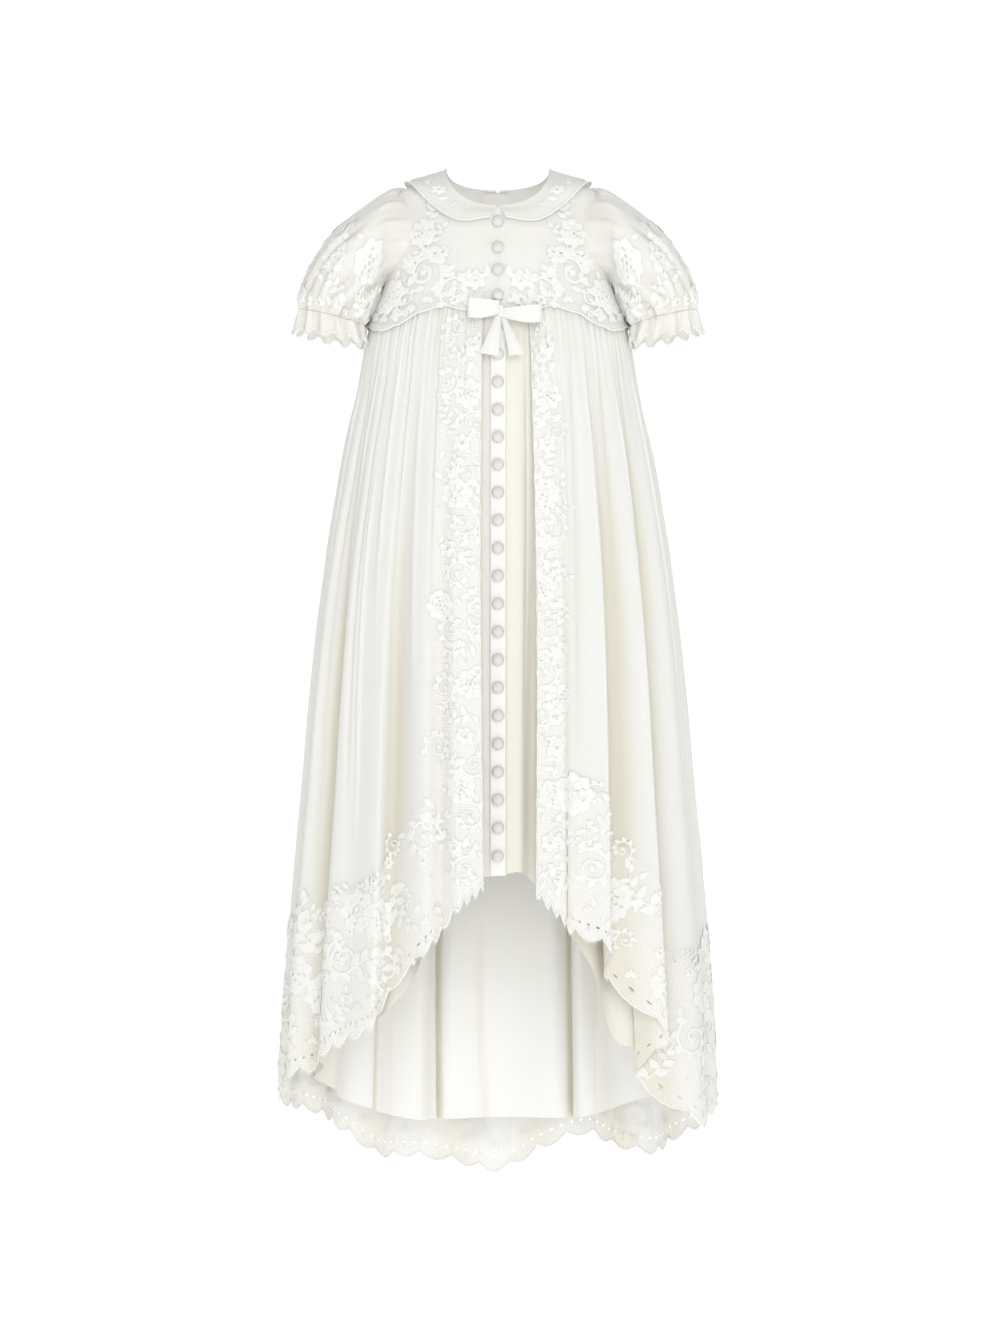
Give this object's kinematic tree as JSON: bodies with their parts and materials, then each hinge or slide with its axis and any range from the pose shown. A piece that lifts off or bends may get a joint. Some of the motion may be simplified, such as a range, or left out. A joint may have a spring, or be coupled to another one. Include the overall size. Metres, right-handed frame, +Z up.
{
  "type": "chiffon maxi dress",
  "caption": "Baby's long ceremonial gown: lace yoke with puff sleeves and bow, open gathered chiffon overskirt with a lace hem over a buttoned satin slip, longer behind.",
  "frame": {"origin": "middle of the neck opening, level with the neck points of the shoulders, where the wearer holds the gown up", "axes": "+Z up the gown, -Y out of its front, +X to the right of someone facing the front"},
  "size_m": [0.3955, 0.253, 0.9191],
  "materials": {
    "chiffon": "sheer crepe chiffon, soft matte",
    "lace": "embroidered net lace, matte with silky threads",
    "yoke": "sheer net with lace over a thin ground",
    "satin": "soft satin sheen"
  },
  "bodies": {
    "root": {"bodice_front_left": "yoke", "bodice_front_right": "yoke", "bodice_back_left": "yoke", "bodice_back_right": "yoke", "back_placket": "yoke", "collar_left": "lace", "collar_right": "lace", "sleeve_left": "chiffon", "sleeve_right": "chiffon", "sleeve_ruffle_left": "lace", "sleeve_ruffle_right": "lace", "overskirt_front_left": "chiffon", "overskirt_front_right": "chiffon", "overskirt_back": "chiffon", "front_lace_left": "lace", "front_lace_right": "lace", "hem_lace_left": "lace", "hem_lace_right": "lace", "hem_lace_back": "lace", "slip_front_left": "satin", "slip_front_right": "satin", "slip_back_left": "satin", "slip_back_right": "satin", "button_band": "satin", "bow_knot": "satin", "bow_loop_left": "satin", "bow_loop_right": "satin", "bow_tail_left": "satin", "bow_tail_right": "satin", "button_01": "satin", "button_02": "satin", "button_03": "satin", "button_04": "satin", "button_05": "satin", "button_06": "satin", "button_07": "satin", "button_08": "satin", "button_09": "satin", "button_10": "satin", "button_11": "satin", "button_12": "satin", "button_13": "satin", "button_14": "satin", "button_15": "satin", "button_16": "satin", "button_17": "satin", "button_18": "satin", "button_19": "satin", "button_20": "satin", "button_21": "satin", "button_22": "satin", "button_23": "satin"}
  },
  "joints": []
}
